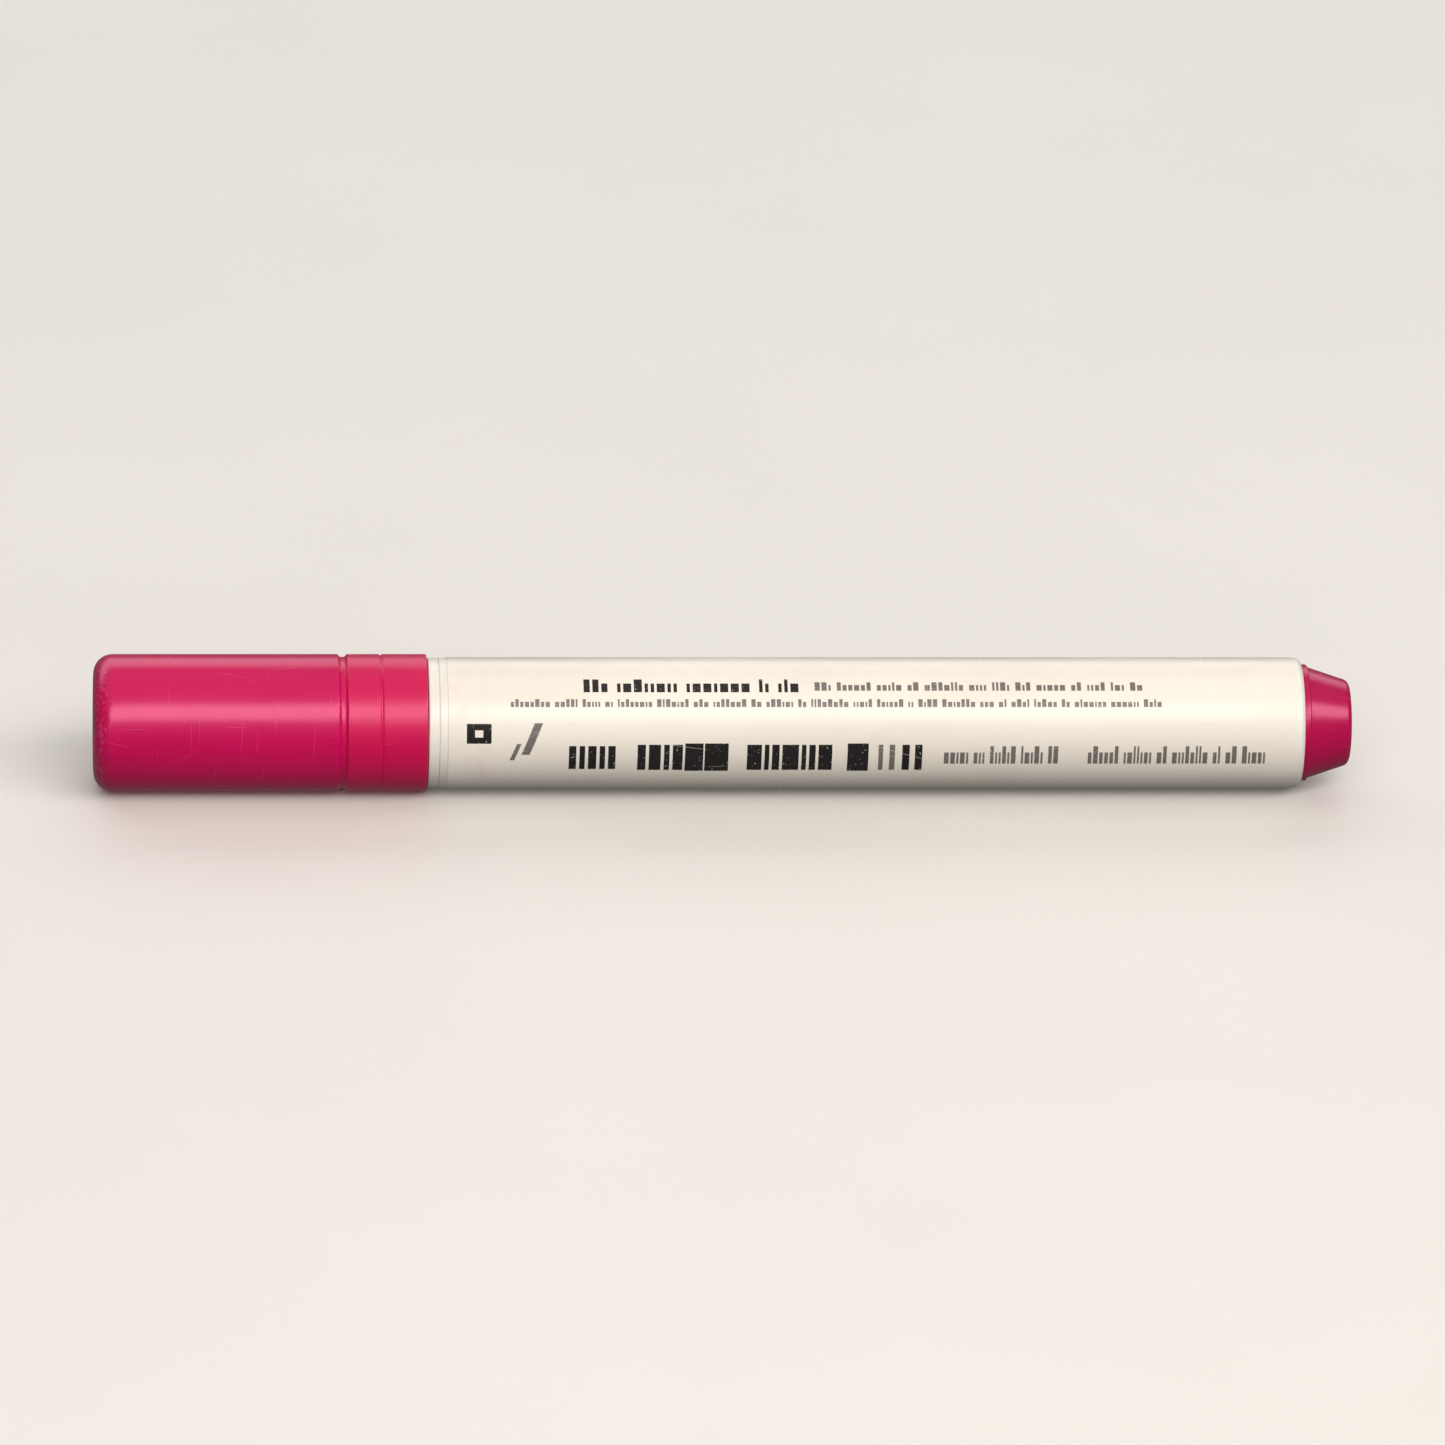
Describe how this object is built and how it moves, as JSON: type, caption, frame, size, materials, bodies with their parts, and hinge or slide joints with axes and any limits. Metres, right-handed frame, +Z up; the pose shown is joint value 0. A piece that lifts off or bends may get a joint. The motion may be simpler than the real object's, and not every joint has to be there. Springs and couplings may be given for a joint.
{
  "type": "whiteboard marker",
  "caption": "Bullet-tip whiteboard marker with a magenta pull-off cap, white labelled barrel and magenta rear plug, lying on its side.",
  "frame": {"origin": "on the table, under the middle of the marker's length", "axes": "+X along the marker from the cap's closed end to the rear plug, +Z up, +Y away from the viewer"},
  "size_m": [0.138, 0.015, 0.015],
  "materials": {
    "cap_plastic": "glossy magenta polypropylene with fine handling scuffs",
    "liner_plastic": "waxy natural-white polyethylene",
    "nib_felt": "bonded acrylic fibre, soaked with magenta ink",
    "nose_plastic": "satin white polypropylene",
    "barrel_plastic": "satin white polypropylene tube",
    "label_film": null,
    "reservoir_fibre": "ink-soaked polyester fibre tow",
    "wrap_film": "thin clear film, tinted by the ink behind it",
    "plug_plastic": "glossy magenta polypropylene, as the cap"
  },
  "bodies": {
    "barrel": {"barrel": "barrel_plastic", "label": "label_film", "nose_section": "nose_plastic", "nib": "nib_felt", "reservoir_core": "reservoir_fibre", "reservoir_film": "wrap_film", "rear_plug": "plug_plastic"},
    "liner": {"inner_cap": "liner_plastic"},
    "cap": {"cap_shell": "cap_plastic"}
  },
  "joints": [
    {"name": "cap_pull", "type": "slide", "parent": "barrel", "child": "liner", "axis": [-1, 0, 0], "range_m": [0, 0.045]},
    {"name": "cap_twist", "type": "hinge", "parent": "liner", "child": "cap", "pos_m": [-0.055, 0, 0.0075], "axis": [1, 0, 0], "continuous": true}
  ]
}
